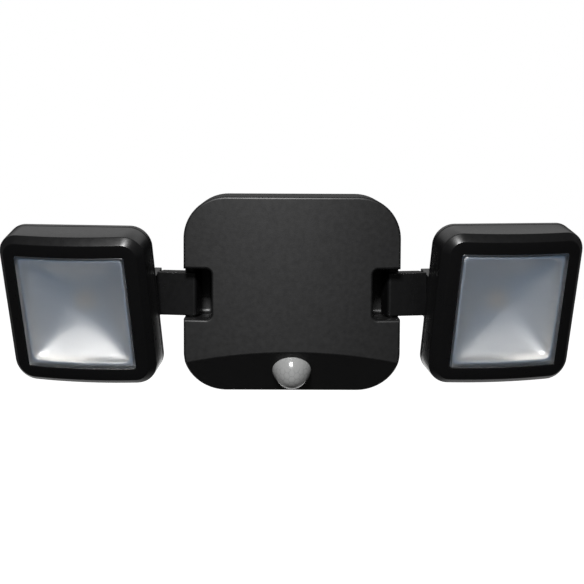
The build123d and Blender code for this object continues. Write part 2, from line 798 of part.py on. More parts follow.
for side in sides:
    name = side_name[side]
    head = head_plane(side)
    centre = (side * (head_width / 2 - head_inset), head_raise)
    posts_at = [
        (centre[0] + x * head_post_x, centre[1] + z * head_post_z) for x in sides for z in sides
    ]
    axle = Plane(origin=head.origin, x_dir=head.y_dir, z_dir=side * head.x_dir)
    hollow = crowned(side, head_width - 2 * head_skin, head_height - 2 * head_skin,
                     head_corner - head_skin, head_seam, -rim_thick)

    with BuildPart() as frame_hollow:
        add(hollow)
        with BuildSketch(head.offset(head_seam)):
            with Locations(*posts_at):
                Circle(head_post_d / 2)
        extrude(amount=head_front, mode=Mode.SUBTRACT)

    with BuildPart() as head_frame:
        add(crowned(side, head_width, head_height, head_corner, head_seam, 0))
        face = head_frame.faces().filter_by(GeomType.CYLINDER).sort_by(SortBy.AREA)[-1]
        chamfer(face.edges(), length=head_bevel)
        add(frame_hollow.part, mode=Mode.SUBTRACT)
        with BuildSketch(head.offset(head_seam)):
            with Locations(centre):
                RectangleRounded(window_width, window_height, window_corner)
        extrude(amount=head_front, mode=Mode.SUBTRACT)
        # posts reach down to the housing's floor
        with BuildSketch(head.offset(board_level)):
            with Locations(*posts_at):
                Circle(head_post_d / 2)
        extrude(amount=head_seam - board_level)
        with BuildSketch(head.offset(board_level)):
            with Locations(*posts_at):
                Circle(screw_core_d / 2)
        extrude(amount=screw_bite, mode=Mode.SUBTRACT)
    write(head_frame.part, f"{name}_head_frame")

    with BuildPart() as lens:
        add(crowned(side, lens_width, lens_height, window_corner + lens_lap,
                    lens_back - lens_thick, -rim_thick))
        add(crowned(side, window_width - 2 * face_clear, window_height - 2 * face_clear,
                    window_corner - face_clear, lens_back - lens_thick, lens_proud))
        add(crowned(side, head_width, head_height, head_corner,
                    lens_back - 2 * lens_thick, -rim_thick - lens_thick), mode=Mode.SUBTRACT)
        add(crowned(side, window_width - 2 * lens_thick, window_height - 2 * lens_thick,
                    window_corner, lens_back - 2 * lens_thick, lens_proud - lens_thick),
            mode=Mode.SUBTRACT)
    write(lens.part, f"{name}_lens")

    mouth_width = window_width - 2 * reflector_band
    mouth_height = window_height - 2 * reflector_band
    flange_level = lens_back - reflector_skin
    with BuildPart() as reflector:
        with BuildSketch(head.offset(chip_level)):
            with Locations(centre):
                Rectangle(reflector_well + 2 * reflector_skin, reflector_well + 2 * reflector_skin)
        with BuildSketch(head.offset(lens_back)):
            with Locations(centre):
                Rectangle(mouth_width + 2 * reflector_skin, mouth_height + 2 * reflector_skin)
        loft()
        with BuildSketch(head.offset(flange_level)):
            with Locations(centre):
                RectangleRounded(lens_width, lens_height, window_corner + lens_lap)
        extrude(amount=reflector_skin)
        with BuildSketch(head.offset(chip_level)):
            with Locations(centre):
                Rectangle(reflector_well, reflector_well)
        with BuildSketch(head.offset(lens_back)):
            with Locations(centre):
                Rectangle(mouth_width, mouth_height)
        loft(mode=Mode.SUBTRACT)
    write(reflector.part, f"{name}_reflector")

    with BuildPart() as led_board:
        with BuildSketch(head.offset(board_level)):
            with Locations(centre):
                Rectangle(led_board_size, led_board_size)
        extrude(amount=led_board_t)
    write(led_board.part, f"{name}_led_board")

    with BuildPart() as led_chip:
        with BuildSketch(head.offset(chip_level)):
            with Locations(centre):
                Rectangle(led_chip_size, led_chip_size)
        extrude(amount=led_chip_t)
    write(led_chip.part, f"{name}_led_chip")

    # profile of the knuckle, seen along the head's upright
    profile = Plane(origin=head.from_local_coords((0, -arm_height / 2, 0)),
                    x_dir=head.x_dir, z_dir=head.y_dir)
    with BuildPart() as head_housing:
        with BuildSketch(head.offset(head_back)):
            with Locations(centre):
                RectangleRounded(head_width, head_height, head_corner)
        extrude(amount=head_seam - head_back)
        fillet(head_housing.faces().sort_by(Axis(head.origin, head.z_dir))[0].edges(),
               radius=head_back_round)
        with BuildSketch(profile):
            with BuildLine():
                Polyline(
                    (side * joint_gap, -head_back - head_skin / 2),
                    (side * joint_gap, arm_thick / 2),
                    (side * knuckle_length, arm_thick / 2),
                    (side * (knuckle_length + knuckle_ramp), -head_back),
                    (side * (knuckle_length + knuckle_ramp), -head_back - head_skin / 2),
                    close=True,
                )
            make_face()
        extrude(amount=arm_height)
        with BuildSketch(head.offset(board_level)):
            with Locations(centre):
                RectangleRounded(head_width - 2 * head_skin, head_height - 2 * head_skin,
                                 head_corner - head_skin)
        extrude(amount=head_front, mode=Mode.SUBTRACT)
        # room for the arm's corners as the head tilts
        with BuildSketch(axle.offset(-head_inset - joint_gap)):
            Circle(hypot(arm_thick / 2, arm_height / 2) + 2 * joint_gap)
        extrude(amount=head_inset + 2 * joint_gap, mode=Mode.SUBTRACT)
        # well for the nut, open to the inside
        with BuildSketch(head.offset(-arm_thick / 2 + knuckle_floor)):
            with Locations((side * (joint_gap + knuckle_skin + knuckle_well / 2), 0)):
                Rectangle(knuckle_well, knuckle_well_height)
        extrude(amount=head_front, mode=Mode.SUBTRACT)
        with BuildSketch(axle):
            Circle(bolt_bore_d / 2)
        extrude(amount=joint_gap + knuckle_skin, mode=Mode.SUBTRACT)
        # screw holes and the seal's groove
        with BuildSketch(head.offset(head_back)):
            with Locations(*posts_at):
                Circle(screw_d / 2 + part_clear)
        extrude(amount=head_skin, mode=Mode.SUBTRACT)
        with BuildSketch(head.offset(head_seam)):
            with Locations(centre):
                ring(head_width - head_skin + seal_width, head_height - head_skin + seal_width,
                     head_corner - (head_skin - seal_width) / 2, seal_width)
        extrude(amount=-seal_thick, mode=Mode.SUBTRACT)
    write(head_housing.part, f"{name}_head_housing")

    with BuildPart() as head_seal:
        with BuildSketch(head.offset(head_seam)):
            with Locations(centre):
                ring(head_width - head_skin + seal_width, head_height - head_skin + seal_width,
                     head_corner - (head_skin - seal_width) / 2, seal_width)
        extrude(amount=-seal_thick)
    write(head_seal.part, f"{name}_head_seal")

    head_rear = Plane(origin=head.offset(head_back).origin, x_dir=-head.x_dir, z_dir=-head.z_dir)
    head_screws = screws(head_rear, mirrored(posts_at), head_skin + screw_bite - face_clear,
                         screw_core_d, screw_head_d, screw_head_t)
    write(head_screws, f"{name}_head_screws")

    # the bolt turns with the head: its own head rubs on the arm, the nut sits in the knuckle
    nut_at = joint_gap + knuckle_skin + tilt_washer_t
    with BuildPart() as tilt_bolt:
        with BuildSketch(axle.offset(-bolt_head_at)):
            RegularPolygon(bolt_hex / 2, 6, major_radius=False)
        extrude(amount=-bolt_head_t)
        with BuildSketch(axle.offset(-bolt_head_at)):
            Circle(bolt_d / 2)
        extrude(amount=bolt_head_at + nut_at + nut_t + bolt_tail)
    write(tilt_bolt.part, f"{name}_tilt_bolt")

    with BuildPart() as tilt_nut:
        with BuildSketch(axle.offset(nut_at)):
            RegularPolygon(bolt_hex / 2, 6, major_radius=False)
            Circle(bolt_bore_d / 2, mode=Mode.SUBTRACT)
        extrude(amount=nut_t)
    write(tilt_nut.part, f"{name}_tilt_nut")

    with BuildPart() as tilt_washers:
        for start in (-bolt_head_at, joint_gap + knuckle_skin):
            with BuildSketch(axle.offset(start)):
                Circle(tilt_washer_d / 2)
                Circle(bolt_bore_d / 2, mode=Mode.SUBTRACT)
            extrude(amount=tilt_washer_t)
    write(tilt_washers.part, f"{name}_tilt_washers")
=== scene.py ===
import json
from math import acos, cos, hypot, pi, radians, sin, sqrt, tan

import bpy
from mathutils import Matrix, Vector


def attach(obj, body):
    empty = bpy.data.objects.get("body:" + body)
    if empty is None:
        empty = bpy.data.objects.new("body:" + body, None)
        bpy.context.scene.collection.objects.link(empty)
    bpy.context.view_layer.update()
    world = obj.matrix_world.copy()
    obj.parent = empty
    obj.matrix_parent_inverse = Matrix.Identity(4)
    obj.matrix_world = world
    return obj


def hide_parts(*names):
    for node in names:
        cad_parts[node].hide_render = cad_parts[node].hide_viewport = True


# Twin-head motion sensor security light. Lengths are millimetres and angles are degrees, in the
# part's own frame unless a comment says otherwise; meshes are written in metres.

MM = 0.001

# ---------------------------------------------------------------- sizes shared with the solids
SIDES = {"left": -1, "right": 1}
YAW = {"left": 12.8, "right": 14.6}
TILT = {"left": 18.9, "right": 15.6}
PIN = (62.2, -37.0, -0.2)
ARM_LENGTH = 20.4

HEAD_W, HEAD_H, HEAD_R = 92.7, 97.8, 13.0
HEAD_INSET, HEAD_RAISE = 3.2, 2.1
HEAD_FRONT, HEAD_SEAM = 40.5, 18.4
HEAD_CROWN = 265.0
HEAD_SKIN, BEVEL, RIM = 2.2, 4.1, 2.6
WINDOW_W, WINDOW_H, WINDOW_R = 70.3, 74.4, 1.6
WINDOW_INSET = (HEAD_W - WINDOW_W) / 2
LENS_PROUD, LENS_T, LENS_LAP = 0.5, 2.0, 1.5
BAND = 4.2
WELL, WELL_LEVEL = 14.0, 18.2

CHIN_ANGLE, BROW = 40.0, (0.0, -62.0, -34.45)
DOME_SLANT, DOME_R, DOME_COLLAR, DOME_SKIN = 16.2, 12.0, 0.2, 0.9
FLANGE_R, FLANGE_T, COVER_SKIN = 14.0, 1.2, 2.5

# ---------------------------------------------------------------- sizes of the finer forms
BEZEL_WALL, BEZEL_ARCS = 9.0, (1.1, 0.9, 0.45)
# groove at the seam: inset from the head's wall, height above the seam
SEAM_PROFILE = ((0.7, 0.0), (0.7, 0.35), (0.05, 0.65), (0.0, 1.0))

LENS_GAP, SEAT_GAP = 0.15, 0.05
# softened edge of the window's panel: inset from its side, depth below its face
PANEL_SOFT = 0.6
PANEL_EDGE = ((0.0, 0.7), (0.2, 0.2), (PANEL_SOFT, 0.0))
PANEL_CORNER_LEAST = 0.3

REFLECTOR_SKIN, REFLECTOR_GAP, LIP_GAP = 1.2, 0.1, 0.15
LIP_CORNER, LIP_SOFT, LIP_DROP = 2.4, 0.25, 0.3
# edge of the bowl's mouth: outset, corner radius, depth below the lip's top
MOUTH_EDGE = ((0.5, 4.2, 0.0), (0.15, 4.0, 0.25), (0.0, 4.0, 0.9))
BOWL_START, BOWL_POWER = 0.99, 1.5
BOWL_CORNER, BOWL_CORNER_GROWTH = 3.5, 12.0

DOME_RISE, DOME_POWER = 12.0, 1.5
HEX_PITCH, GROOVE_DEPTH, GROOVE_WIDTH = 4.1, 0.05, 0.55
GROOVE_REACH = 14.5
GROOVE_FADE_START, GROOVE_FADE_END = 8.5, 11.5

CORNER_STEPS, SIDE_STEPS = 10, 16
PANE_STEPS, BOWL_STEPS = 14, 16
DOME_AROUND, DOME_UP, DOME_INNER_SKIP = 144, 72, 3
LEAST = 0.01

# range that most of a noise texture's values fall in
NOISE_LOW, NOISE_HIGH = 0.3, 0.7

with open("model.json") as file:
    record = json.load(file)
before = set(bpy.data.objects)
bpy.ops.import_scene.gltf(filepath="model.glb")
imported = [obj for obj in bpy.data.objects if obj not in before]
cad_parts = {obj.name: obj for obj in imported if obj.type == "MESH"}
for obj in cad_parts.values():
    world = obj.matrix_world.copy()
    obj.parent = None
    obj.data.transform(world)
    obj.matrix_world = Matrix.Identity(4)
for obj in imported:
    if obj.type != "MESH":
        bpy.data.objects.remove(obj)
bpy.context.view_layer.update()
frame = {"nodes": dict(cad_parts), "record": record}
nodes = frame["nodes"]


# ---------------------------------------------------------------- materials
def shader(name, colour, roughness, metallic=0.0, specular=0.5):
    """A material with one Principled shader, ready for the textures below."""
    material = bpy.data.materials.new(name)
    material.use_nodes = True
    tree = material.node_tree
    surface = tree.nodes["Principled BSDF"]
    surface.inputs["Base Color"].default_value = (*colour, 1.0)
    surface.inputs["Roughness"].default_value = roughness
    surface.inputs["Metallic"].default_value = metallic
    surface.inputs["Specular IOR Level"].default_value = specular
    return material, tree, surface


def object_place(tree):
    """Object coordinates, which ride with the piece."""
    return tree.nodes.new("ShaderNodeTexCoord").outputs["Object"]


def noise(tree, place, per_mm, detail=3.0, rough=0.5):
    """Noise with the given number of features per millimetre."""
    node = tree.nodes.new("ShaderNodeTexNoise")
    node.inputs["Scale"].default_value = per_mm / MM
    node.inputs["Detail"].default_value = detail
    node.inputs["Roughness"].default_value = rough
    tree.links.new(place, node.inputs["Vector"])
    return node.outputs["Fac"]


def spread(tree, value, low, high, to_low, to_high):
    """The value mapped from one range to another."""
    node = tree.nodes.new("ShaderNodeMapRange")
    node.inputs["From Min"].default_value = low
    node.inputs["From Max"].default_value = high
    node.inputs["To Min"].default_value = to_low
    node.inputs["To Max"].default_value = to_high
    tree.links.new(value, node.inputs["Value"])
    return node.outputs["Result"]


def tinted(tree, surface, value, dark, light):
    """Base colour that runs from dark to light with the value."""
    mix = tree.nodes.new("ShaderNodeMix")
    mix.data_type = "RGBA"
    mix.inputs["A"].default_value = (*dark, 1.0)
    mix.inputs["B"].default_value = (*light, 1.0)
    tree.links.new(value, mix.inputs["Factor"])
    tree.links.new(mix.outputs["Result"], surface.inputs["Base Color"])


def polished(tree, surface, value, low, high):
    """Roughness that wanders between two values."""
    tree.links.new(spread(tree, value, NOISE_LOW, NOISE_HIGH, low, high), surface.inputs["Roughness"])


def bumped(tree, surface, value, height_mm):
    """Relief of the given height."""
    node = tree.nodes.new("ShaderNodeBump")
    node.inputs["Distance"].default_value = height_mm * MM
    tree.links.new(value, node.inputs["Height"])
    tree.links.new(node.outputs["Normal"], surface.inputs["Normal"])


def moulded_black(name, grain, height, roughness):
    """Black moulded plastic with a fine spark-eroded grain."""
    material, tree, surface = shader(name, (0.003, 0.003, 0.0032), roughness[0])
    place = object_place(tree)
    tinted(tree, surface, noise(tree, place, 0.02), (0.0026, 0.0026, 0.0028), (0.0034, 0.0034, 0.0036))
    polished(tree, surface, noise(tree, place, 0.35, 4.0), *roughness)
    bumped(tree, surface, noise(tree, place, grain, 2.0, 0.6), height)
    return material


def metal(name, colour, roughness):
    """Plated or drawn steel, slightly uneven in colour and shine."""
    material, tree, surface = shader(name, colour, roughness, metallic=1.0)
    place = object_place(tree)
    tinted(tree, surface, noise(tree, place, 0.5), [c * 0.82 for c in colour], colour)
    polished(tree, surface, noise(tree, place, 2.0, 4.0), roughness * 0.8, roughness * 1.3)
    bumped(tree, surface, noise(tree, place, 4.0, 2.0), 0.004)
    return material


def plain(name, dark, light, roughness, scale=0.4, height=0.01):
    """Any other smooth finish, with a little life in its colour and surface."""
    material, tree, surface = shader(name, light, roughness)
    place = object_place(tree)
    tinted(tree, surface, noise(tree, place, scale), dark, light)
    bumped(tree, surface, noise(tree, place, scale * 6, 2.0), height)
    return material


def satin_silver():
    """Moulded reflector with a thin satin metal coat."""
    dark, light = (0.45, 0.44, 0.425), (0.49, 0.475, 0.455)
    material, tree, surface = shader("bright_reflector", light, 0.42, metallic=0.96)
    place = object_place(tree)
    tinted(tree, surface, noise(tree, place, 0.1), dark, light)
    polished(tree, surface, noise(tree, place, 0.6), 0.41, 0.44)
    bumped(tree, surface, noise(tree, place, 0.8, 2.0), 0.004)
    return material


def frosted_window():
    """Clear moulded window with a frosted finish."""
    material, tree, surface = shader("frosted_window", (0.66, 0.665, 0.67), 0.36)
    surface.inputs["IOR"].default_value = 1.49
    surface.inputs["Transmission Weight"].default_value = 0.98
    place = object_place(tree)
    polished(tree, surface, noise(tree, place, 0.8), 0.34, 0.38)
    bumped(tree, surface, noise(tree, place, 2.5, 2.0), 0.004)
    return material


def milky_dome():
    """Milky polyethylene; painted shade darkens the borders between the small lenses in the base
    colour.
    """
    # The border colour is painted shade: the groove attribute darkens the base colour along the
    # grooves between the small lenses, where shade falls.
    cell, border = (0.235, 0.237, 0.235), (0.16, 0.163, 0.163)
    material, tree, surface = shader("milky_dome", cell, 0.16)
    surface.inputs["Subsurface Weight"].default_value = 0.15
    surface.inputs["Subsurface Radius"].default_value = (0.002, 0.002, 0.002)
    groove = tree.nodes.new("ShaderNodeAttribute")
    groove.attribute_name = "groove"
    tinted(tree, surface, groove.outputs["Fac"], cell, border)
    bumped(tree, surface, noise(tree, object_place(tree), 3.0, 2.0), 0.001)
    return material


body_black = moulded_black("body_black", 1.0, 0.016, (0.42, 0.48))
head_black = moulded_black("head_black", 1.8, 0.010, (0.27, 0.31))
window = frosted_window()
bright_reflector = satin_silver()
dome_plastic = milky_dome()

FINISH = {
    "black_plastic": body_black,
    "steel": metal("zinc", (0.56, 0.56, 0.58), 0.30),
    "seal_rubber": plain("rubber", (0.003, 0.003, 0.003), (0.006, 0.006, 0.006), 0.75, 0.8, 0.02),
    "battery_wrap": plain("cell_wrap", (0.20, 0.21, 0.22), (0.28, 0.29, 0.31), 0.28, 0.1),
    "circuit_board": plain("circuit_green", (0.012, 0.08, 0.03), (0.02, 0.13, 0.05), 0.35, 0.3),
    "component_plastic": plain("dark_part", (0.018, 0.018, 0.02), (0.03, 0.03, 0.032), 0.4),
    "sensor_can": metal("spring_steel", (0.62, 0.61, 0.60), 0.24),
    "dome_plastic": dome_plastic,
    "nylon": plain("hidden_black", (0.003, 0.003, 0.003), (0.005, 0.005, 0.005), 0.45),
    "frosted_plastic": window,
    "reflector_plastic": bright_reflector,
    "led_board": plain("lamp_board", (0.24, 0.24, 0.235), (0.28, 0.28, 0.275), 0.45),
    "led_phosphor": plain("phosphor", (0.13, 0.115, 0.09), (0.16, 0.14, 0.11), 0.40, 1.2),
}
for entry in frame["record"]["subparts"]:
    node = nodes[entry["node"]]
    finish = FINISH[entry["material_slot"]]
    if finish is body_black and ("head" in node.name or "arm" in node.name):
        finish = head_black
    node.data.materials.clear()
    node.data.materials.append(finish)


# ---------------------------------------------------------------- mesh helpers
def outline(width, height, corner):
    """Points round a rounded rectangle, the same number whatever its size."""
    corner = max(min(corner, width / 2 - LEAST, height / 2 - LEAST), LEAST)
    signs = ((1, 1), (-1, 1), (-1, -1), (1, -1))
    centres = [(sx * (width / 2 - corner), sy * (height / 2 - corner)) for sx, sy in signs]
    points = []
    for turn, (cx, cy) in enumerate(centres):
        for step in range(CORNER_STEPS + 1):
            a = pi / 2 * (turn + step / CORNER_STEPS)
            points.append((cx + corner * cos(a), cy + corner * sin(a)))
        nx, ny = centres[(turn + 1) % 4]
        x0, y0 = points[-1]
        x1, y1 = nx + corner * cos(a), ny + corner * sin(a)
        for step in range(1, SIDE_STEPS):
            k = step / SIDE_STEPS
            points.append((x0 + (x1 - x0) * k, y0 + (y1 - y0) * k))
    return points


def circle(radius, level):
    turns = [2 * pi * k / DOME_AROUND for k in range(DOME_AROUND)]
    return [(radius * cos(a), radius * sin(a), level) for a in turns]


def rounded(corners, arcs, steps=5):
    """A profile's polyline with an arc of the given radius at each inner corner."""
    points = [corners[0]]
    for before, here, after, radius in zip(corners, corners[1:], corners[2:], arcs):
        p, a, b = Vector(here), Vector(before), Vector(after)
        u, v = (a - p).normalized(), (b - p).normalized()
        half = acos(max(-1.0, min(1.0, u.dot(v)))) / 2
        reach = min(radius / tan(half), (a - p).length * 0.49, (b - p).length * 0.49)
        radius = reach * tan(half)
        centre = p + (u + v).normalized() * (radius / sin(half))
        start, end = p + u * reach - centre, p + v * reach - centre
        points += [tuple(centre + start.slerp(end, step / steps)) for step in range(steps + 1)]
    points.append(corners[-1])
    return points


def skinned(rings, closed=False):
    """Vertices and faces of rings of equal length joined in order."""
    count = len(rings[0])
    verts = [tuple(c * MM for c in p) for ring in rings for p in ring]
    faces = []
    for i in range(len(rings) if closed else len(rings) - 1):
        j = (i + 1) % len(rings)
        for k in range(count):
            m = (k + 1) % count
            faces.append((i * count + k, i * count + m, j * count + m, j * count + k))
    return verts, faces


def shell(outer, inner):
    """A closed shell: the outer rings run from rim to middle, the inner ones back to the rim."""
    verts, faces = skinned(outer)
    more, more_faces = skinned(inner)
    count, first = len(outer[0]), len(verts)
    faces.append(tuple(range(first - count, first)))
    faces.append(tuple(reversed(range(first, first + count))))
    faces += [tuple(first + v for v in face) for face in more_faces]
    last = first + len(more) - count
    faces += [(last + k, last + (k + 1) % count, (k + 1) % count, k) for k in range(count)]
    return verts + more, faces


def piece(name, mesh_data, material, body, place, sharp, replaced):
    """A mesh object that rides on a body and stands for the solid it replaces."""
    verts, faces = mesh_data
    mesh = bpy.data.meshes.new(name)
    mesh.from_pydata([place @ Vector(v) for v in verts], [], faces)
    mesh.update()
    mesh.materials.append(material)
    mesh.shade_smooth()
    mesh.set_sharp_from_angle(angle=radians(sharp))
    made = bpy.data.objects.new(name, mesh)
    bpy.context.scene.collection.objects.link(made)
    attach(made, body)
    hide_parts(replaced)
    return made


# ---------------------------------------------------------------- places
def placed(x, y, z, origin):
    """Matrix from a piece's own axes and origin to the part's frame, in metres."""
    matrix = Matrix((x, y, z)).transposed().to_4x4()
    matrix.translation = origin * MM
    return matrix


def head_place(name):
    """Place of a head: x along the arm, z along the beam."""
    side = SIDES[name]
    turn, drop = radians(side * YAW[name]), radians(TILT[name])
    x = Vector((cos(turn), sin(turn), 0))
    forward = Vector((sin(turn), -cos(turn), 0))
    z = forward * cos(drop) - Vector((0, 0, 1)) * sin(drop)
    y = z.cross(x)
    pin = Vector((side * PIN[0], PIN[1], PIN[2]))
    origin = pin + x * side * ARM_LENGTH + x * side * (HEAD_W / 2 - HEAD_INSET) + y * HEAD_RAISE
    return placed(x, y, z, origin)


def dome_place():
    """Place of the dome: z straight out of the chin, y up the chin."""
    drop = radians(CHIN_ANGLE)
    z = Vector((0, -cos(drop), -sin(drop)))
    x = Vector((1, 0, 0))
    y = z.cross(x)
    return placed(x, y, z, Vector(BROW) - y * DOME_SLANT)


# ---------------------------------------------------------------- heads
def crown(x):
    """Level of the head's crowned face at a distance from its middle."""
    return HEAD_FRONT - (HEAD_CROWN - sqrt(HEAD_CROWN ** 2 - x ** 2))


def at_crown(width, height, corner, offset):
    return [(x, y, crown(x) + offset) for x, y in outline(width, height, corner)]


def at_level(width, height, corner, level):
    return [(x, y, level) for x, y in outline(width, height, corner)]


def bezel_ring(inset, offset):
    """A ring of the frame's face, from the outer wall (inset 0) to the window's edge."""
    if inset <= BEVEL:
        return at_crown(HEAD_W - 2 * inset, HEAD_H - 2 * inset, HEAD_R - inset, offset)
    k = (inset - BEVEL) / (WINDOW_INSET - BEVEL)
    height = (HEAD_H - 2 * BEVEL) * (1 - k) + WINDOW_H * k
    corner = (HEAD_R - BEVEL) * (1 - k) + WINDOW_R * k
    return at_crown(HEAD_W - 2 * inset, height, corner, offset)


def make_bezel(name, body, place):
    """Front frame: a groove at the seam, an upright wall, a bevel and a flat rim."""
    rings = [
        at_level(HEAD_W - 2 * inset, HEAD_H - 2 * inset, HEAD_R - inset, HEAD_SEAM + height)
        for inset, height in SEAM_PROFILE
    ]
    profile = [(0, -BEZEL_WALL), (0, -BEVEL), (BEVEL, 0), (WINDOW_INSET, 0), (WINDOW_INSET, -RIM)]
    rings += [bezel_ring(inset, offset) for inset, offset in rounded(profile, BEZEL_ARCS)]
    inner = (HEAD_W - 2 * HEAD_SKIN, HEAD_H - 2 * HEAD_SKIN, HEAD_R - HEAD_SKIN)
    rings += [at_crown(*inner, -RIM), at_level(*inner, HEAD_SEAM)]
    piece(f"{name}_head_bezel", skinned(rings, closed=True), head_black, body, place, 50,
          f"{name}_head_frame")


FLANGE = (WINDOW_W + 2 * LENS_LAP, WINDOW_H + 2 * LENS_LAP, WINDOW_R + LENS_LAP)
PANEL_W, PANEL_H = WINDOW_W - 2 * LENS_GAP, WINDOW_H - 2 * LENS_GAP
PANEL_IN_W, PANEL_IN_H = PANEL_W - 2 * LENS_T, PANEL_H - 2 * LENS_T


def panel_ring(k, offset):
    """A ring of the window's crowned panel, from its middle (0) to its softened edge (1)."""
    width, height = PANEL_W - 2 * PANEL_SOFT, PANEL_H - 2 * PANEL_SOFT
    return at_crown(width * k, height * k, max(WINDOW_R * k, PANEL_CORNER_LEAST), offset)


def make_window(name, body, place):
    """Window: a flange behind the rim and a raised crowned panel through it."""
    behind, back = -RIM - LENS_T, LENS_PROUD - LENS_T
    shrinks = [k / PANE_STEPS for k in range(PANE_STEPS - 1, 0, -1)]
    outer = [
        at_crown(*FLANGE, behind),
        at_crown(*FLANGE, -RIM - SEAT_GAP),
        at_crown(PANEL_W, PANEL_H, WINDOW_R, -RIM - SEAT_GAP),
    ]
    outer += [
        at_crown(PANEL_W - 2 * inset, PANEL_H - 2 * inset, WINDOW_R, LENS_PROUD - drop)
        for inset, drop in PANEL_EDGE
    ]
    outer += [panel_ring(k, LENS_PROUD) for k in shrinks]
    inner = [panel_ring(k, back) for k in reversed(shrinks)]
    inner += [at_crown(PANEL_IN_W, PANEL_IN_H, WINDOW_R, level) for level in (back, behind)]
    pane = piece(f"{name}_window", shell(outer, inner), window, body, place, 50,
                 f"{name}_lens")
    pane.visible_shadow = False


MOUTH_W, MOUTH_H = WINDOW_W - 2 * BAND, WINDOW_H - 2 * BAND
BOWL_TOP = crown(FLANGE[0] / 2) - RIM - LENS_T - REFLECTOR_GAP


def bowl_ring(k, thick):
    """A ring of the bowl from the lamp (0) to the mouth (1), moved outwards by a thickness."""
    width, height = WELL + (MOUTH_W - WELL) * k, WELL + (MOUTH_H - WELL) * k
    corner = BOWL_CORNER + BOWL_CORNER_GROWTH * (1 - k)
    depth = (BOWL_TOP - WELL_LEVEL) * (1 - k ** BOWL_POWER)
    return at_level(width + 2 * thick, height + 2 * thick, corner + thick, BOWL_TOP - depth - thick)


def make_reflector(name, body, place):
    """Reflector: a lip that stands up inside the window's own rim and a square bowl, steep at
    its mouth and flat round the lamp, with soft creases."""
    lip = LENS_PROUD - LENS_T - LIP_GAP
    lip_w, lip_h = PANEL_IN_W - 2 * LIP_GAP, PANEL_IN_H - 2 * LIP_GAP
    steps = [BOWL_START * (1 - i / BOWL_STEPS) for i in range(BOWL_STEPS + 1)]
    rings = [
        at_level(*FLANGE, BOWL_TOP - REFLECTOR_SKIN),
        at_level(*FLANGE, BOWL_TOP),
        at_level(lip_w, lip_h, LIP_CORNER, BOWL_TOP),
        at_crown(lip_w, lip_h, LIP_CORNER, lip - LIP_DROP),
        at_crown(lip_w - 2 * LIP_SOFT, lip_h - 2 * LIP_SOFT, LIP_CORNER, lip),
    ]
    rings += [
        at_crown(MOUTH_W + 2 * outset, MOUTH_H + 2 * outset, corner, lip - drop)
        for outset, corner, drop in MOUTH_EDGE
    ]
    rings += [bowl_ring(k, 0) for k in steps]
    rings += [bowl_ring(k, REFLECTOR_SKIN) for k in reversed(steps)]
    piece(f"{name}_reflector_bowl", skinned(rings, closed=True), bright_reflector, body, place, 60,
          f"{name}_reflector")


for head_name in SIDES:
    for make in (make_bezel, make_window, make_reflector):
        make(head_name, f"{head_name}_head", head_place(head_name))


# ---------------------------------------------------------------- sensor dome
def hex_groove(x, y):
    """0 inside a cell of a hexagonal grid, rising to 1 on the border between two cells."""
    edge = HEX_PITCH / sqrt(3)
    q = (x * 2 / 3) / edge
    r = (-x / 3 + sqrt(3) / 3 * y) / edge
    nearest, second = sorted(
        hypot(x - edge * 1.5 * i, y - edge * sqrt(3) * (j + i / 2))
        for i in range(round(q) - 1, round(q) + 2)
        for j in range(round(r) - 1, round(r) + 2)
    )[:2]
    return max(0.0, 1 - (second - nearest) / GROOVE_WIDTH)


def dome_point(a, radius, rise):
    """Distance from the dome's axis and level on its profile, from the rim (0) to the top."""
    return radius * cos(a), DOME_COLLAR + rise * sin(a) ** DOME_POWER


def grooved_ring(a, arc):
    """A ring of the outer dome, pressed in along the borders of the small lenses, and how far
    each of its points lies in a groove; arc is the distance from the top along the surface."""
    radius, level = dome_point(a, DOME_R, DOME_RISE)
    lean = Vector((DOME_POWER * DOME_RISE * sqrt(sin(a)) * cos(a), DOME_R * sin(a))).normalized()
    points, grooves = [], []
    for n in range(DOME_AROUND):
        b = 2 * pi * n / DOME_AROUND
        groove = hex_groove(arc * cos(b), arc * sin(b)) if arc < GROOVE_REACH else 0.0
        fade = (GROOVE_FADE_END - arc * sin(b)) / (GROOVE_FADE_END - GROOVE_FADE_START)
        groove *= max(0.0, min(1.0, fade))
        out = radius - GROOVE_DEPTH * groove * lean.x
        points.append((out * cos(b), out * sin(b), level - GROOVE_DEPTH * groove * lean.y))
        grooves.append(groove)
    return points, grooves


def make_dome():
    """Sensor dome: a flange behind the cover, a collar through it and the domed lens."""
    inside = DOME_R - DOME_SKIN
    outer = [
        circle(inside, -COVER_SKIN - FLANGE_T),
        circle(FLANGE_R, -COVER_SKIN - FLANGE_T),
        circle(FLANGE_R, -COVER_SKIN),
        circle(DOME_R, -COVER_SKIN),
        circle(DOME_R, DOME_COLLAR),
    ]
    grooves = [0.0] * (DOME_AROUND * len(outer))
    turns = [pi / 2 * step / DOME_UP for step in range(DOME_UP + 1)]
    profile = [dome_point(a, DOME_R, DOME_RISE) for a in turns]
    lengths = [0.0]
    for (r0, z0), (r1, z1) in zip(profile, profile[1:]):
        lengths.append(lengths[-1] + hypot(r0 - r1, z1 - z0))
    for a, length in list(zip(turns, lengths))[1:-1]:
        points, depths = grooved_ring(a, lengths[-1] - length)
        outer.append(points)
        grooves += depths
    inner_turns = reversed(turns[:-1:DOME_INNER_SKIP])
    inner = [circle(*dome_point(a, inside, DOME_RISE - DOME_SKIN)) for a in inner_turns]
    grooves += [0.0] * (DOME_AROUND * len(inner))
    made = piece("sensor_dome", shell(outer, inner), dome_plastic, "base", dome_place(), 60,
                 "pir_lens")
    # The groove values also drive the painted shade along the borders between the small lenses.
    made.data.attributes.new("groove", "FLOAT", "POINT").data.foreach_set("value", grooves)


make_dome()


# ---------------------------------------------------------------- floor
# Coordinates of the floor, the lights and the camera are metres.
FLOOR_SIZE, FLOOR_LEVEL = 24.0, -1.2


